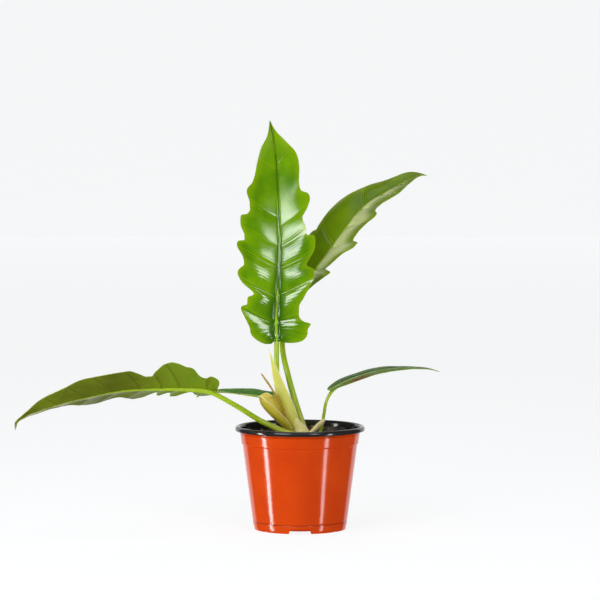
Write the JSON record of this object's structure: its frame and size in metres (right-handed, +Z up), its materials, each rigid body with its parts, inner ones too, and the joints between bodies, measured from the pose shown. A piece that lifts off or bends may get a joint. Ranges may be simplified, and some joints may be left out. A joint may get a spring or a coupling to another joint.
{
  "type": "potted philodendron",
  "caption": "Young philodendron with long, lobed glossy leaves on slender stalks, in a round tapered nursery pot filled with potting mix.",
  "frame": {"origin": "middle of the pot's foot, on the surface it stands on", "axes": "+Z up along the pot's axis, -Y towards the plant's front, where the upright leaf shows its upper face"},
  "size_m": [0.4941, 0.243, 0.4782],
  "materials": {
    "pot": "orange-red thermoformed sheet, black inside and on the rim",
    "mix": "dark moist peat and bark mix, matte",
    "root": "pale fleshy roots and stem base, matte",
    "blade": "glossy mid-green leaf",
    "stalk": "satin light-green stalk",
    "sheath": "satin yellow-green sheath",
    "dry_sheath": "dry olive-brown sheath, matte"
  },
  "bodies": {
    "root": {"nursery_pot": "pot", "potting_mix": "mix", "crown_with_roots": "root", "upright_leaf_blade": "blade", "upright_leaf_stalk": "stalk", "right_leaf_blade": "blade", "right_leaf_stalk": "stalk", "left_leaf_blade": "blade", "left_leaf_stalk": "stalk", "rear_leaf_blade": "blade", "rear_leaf_stalk": "stalk", "small_leaf_blade": "blade", "small_leaf_stalk": "stalk", "tall_sheath": "sheath", "hooded_sheath": "sheath", "small_sheath": "sheath", "dry_sheath": "dry_sheath"}
  },
  "joints": []
}
